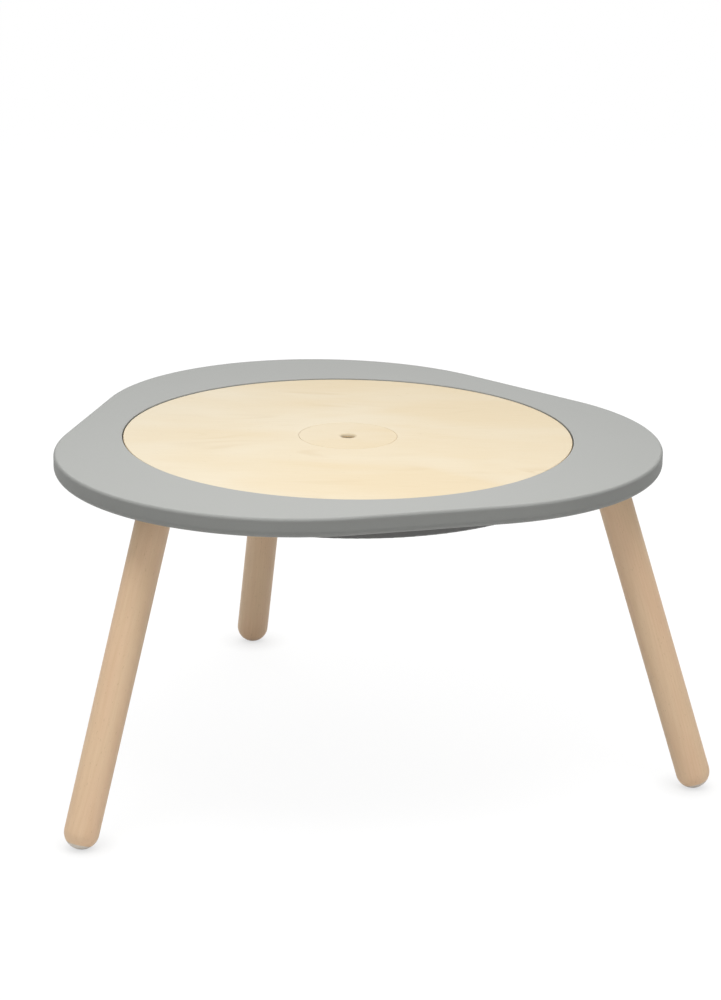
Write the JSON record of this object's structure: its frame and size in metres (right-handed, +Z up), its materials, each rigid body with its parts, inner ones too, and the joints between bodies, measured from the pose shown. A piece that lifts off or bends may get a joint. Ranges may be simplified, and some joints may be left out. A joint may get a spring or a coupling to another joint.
{
  "type": "children's play table",
  "caption": "Low children's table with a rounded three-sided top, a round lift-out play board with a small lid over a storage tray, and splayed round legs.",
  "frame": {"origin": "on the floor, under the middle of the play board", "axes": "+Z up, +Y towards the back leg, +X to the right across the two front legs"},
  "size_m": [0.7784, 0.7678, 0.4],
  "materials": {
    "lacquered_top": "satin grey lacquer on fibreboard",
    "birch_plywood": "clear matt lacquer",
    "beech": "clear matt lacquer",
    "moulded_tray": "fine spark-eroded texture",
    "moulded_bracket": "moulded, matt",
    "felt": "pressed wool felt",
    "zinc_steel": "zinc plated",
    "brass": "machined"
  },
  "bodies": {
    "table": {"table_top": "lacquered_top", "storage_tray": "moulded_tray", "tray_screws": "zinc_steel", "bracket_screws": "zinc_steel", "leg_right": "beech", "foot_pad_right": "felt", "leg_bracket_right": "moulded_bracket", "threaded_insert_right": "brass", "hanger_bolt_right": "zinc_steel", "leg_back": "beech", "foot_pad_back": "felt", "leg_bracket_back": "moulded_bracket", "threaded_insert_back": "brass", "hanger_bolt_back": "zinc_steel", "leg_left": "beech", "foot_pad_left": "felt", "leg_bracket_left": "moulded_bracket", "threaded_insert_left": "brass", "hanger_bolt_left": "zinc_steel"},
    "board": {"play_board": "birch_plywood"},
    "lid": {"center_lid": "birch_plywood"}
  },
  "joints": [
    {"name": "board_lift", "type": "slide", "parent": "table", "child": "board", "axis": [0, 0, 1], "range_m": [0, 0.15]},
    {"name": "lid_lift", "type": "slide", "parent": "board", "child": "lid", "axis": [0, 0, 1], "range_m": [0, 0.08]}
  ]
}
